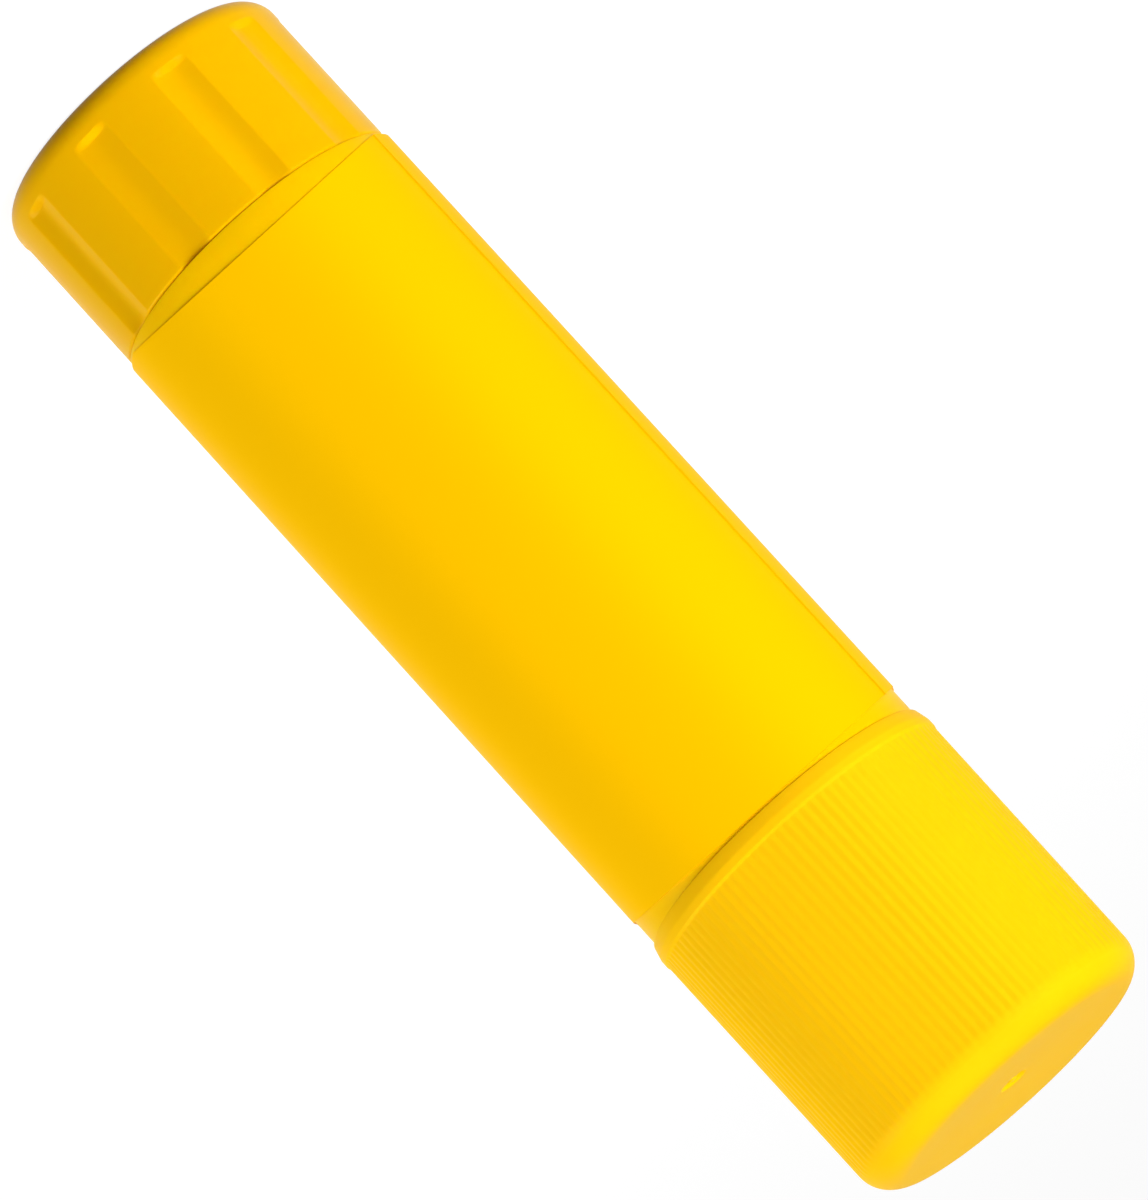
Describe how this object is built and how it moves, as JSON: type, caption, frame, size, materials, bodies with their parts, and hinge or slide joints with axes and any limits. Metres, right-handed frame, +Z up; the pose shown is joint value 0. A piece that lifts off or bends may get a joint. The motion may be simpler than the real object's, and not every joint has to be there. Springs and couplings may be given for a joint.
{
  "type": "glue stick",
  "caption": "Round twist-up glue stick with a ribbed push-on cap, a plain labelled barrel and a fluted base knob that feeds the glue.",
  "frame": {"origin": "centre of the foot, on the plane that the twist knob stands on", "axes": "+Z up the common axis from the twist knob to the cap; the label's lapped edge lies near -X"},
  "size_m": [0.0262, 0.0262, 0.098],
  "materials": {
    "barrel_plastic": "satin moulded polypropylene, amber yellow, slightly translucent",
    "label_film": "plain bright yellow gloss film",
    "knob_plastic": "glossy amber yellow polypropylene, slightly translucent",
    "cap_plastic": "satin yellow polypropylene",
    "mechanism_plastic": "natural white polypropylene",
    "glue": "waxy off-white solid adhesive"
  },
  "bodies": {
    "barrel": {"barrel": "barrel_plastic", "label": "label_film"},
    "knob": {"twist_knob": "knob_plastic", "lead_screw": "mechanism_plastic"},
    "carrier": {"glue_carrier": "mechanism_plastic", "glue_stick": "glue"},
    "cap": {"cap": "cap_plastic"}
  },
  "joints": [
    {"name": "cap_pull", "type": "slide", "parent": "barrel", "child": "cap", "axis": [0, 0, 1], "range_m": [0, 0.05]},
    {"name": "knob_twist", "type": "hinge", "parent": "barrel", "child": "knob", "pos_m": [0, 0, 0.0073], "axis": [0, 0, 1], "range_deg": [-3692, 1307]},
    {"name": "glue_feed", "type": "slide", "parent": "barrel", "child": "carrier", "axis": [0, 0, 1], "range_m": [-0.041, 0.0145]}
  ],
  "couplings": [
    {"joint": "knob_twist", "follows": "glue_feed", "rad_per_m": 1570.8}
  ]
}
